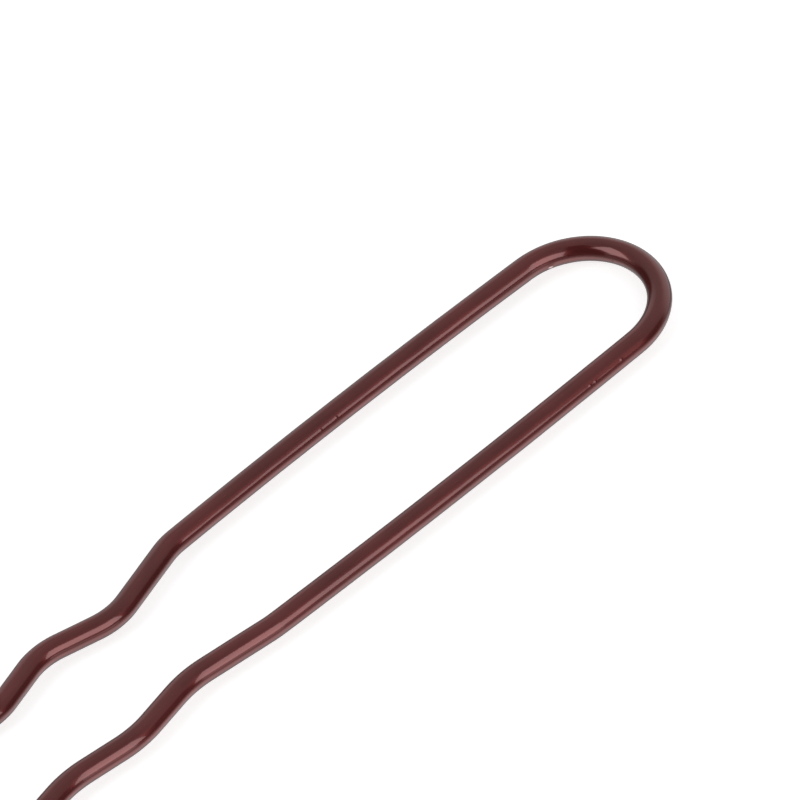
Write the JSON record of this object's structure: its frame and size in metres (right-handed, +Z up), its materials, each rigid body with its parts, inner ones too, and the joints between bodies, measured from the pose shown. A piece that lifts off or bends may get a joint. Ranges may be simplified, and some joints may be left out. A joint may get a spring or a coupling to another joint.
{
  "type": "wavy hair pin",
  "caption": "U-shaped hair pin: one lacquered spring wire bent round a bow, with wavy legs that spring apart and together and rounded tips.",
  "frame": {"origin": "centre of the pin's box seen from above, on the plane that the tip beads touch when the pin lies flat", "axes": "+X along the pin from the tips to the bow, +Y from the right leg to the left leg, +Z up through the thin side"},
  "size_m": [0.0754, 0.0124, 0.0021],
  "materials": {
    "spring_steel": "bright drawn wire under the lacquer",
    "brown_lacquer": "glossy reddish-brown stoved lacquer",
    "tip_resin": "glossy reddish-brown resin"
  },
  "bodies": {
    "bow": {"bow_wire": "spring_steel", "bow_lacquer": "brown_lacquer"},
    "left_leg": {"left_leg_wire": "spring_steel", "left_leg_lacquer": "brown_lacquer", "left_tip_bead": "tip_resin"},
    "right_leg": {"right_leg_wire": "spring_steel", "right_leg_lacquer": "brown_lacquer", "right_tip_bead": "tip_resin"}
  },
  "joints": [
    {"name": "left_leg_flex", "type": "hinge", "parent": "bow", "child": "left_leg", "pos_m": [0.03018, 0.00535, 0.00105], "axis": [0, 0, -1], "range_deg": [-2.5, 10], "stiffness_Nm_per_rad": 0.8},
    {"name": "right_leg_flex", "type": "hinge", "parent": "bow", "child": "right_leg", "pos_m": [0.03018, -0.00426, 0.00105], "axis": [0, 0, 1], "range_deg": [-2.5, 10], "stiffness_Nm_per_rad": 0.8}
  ]
}
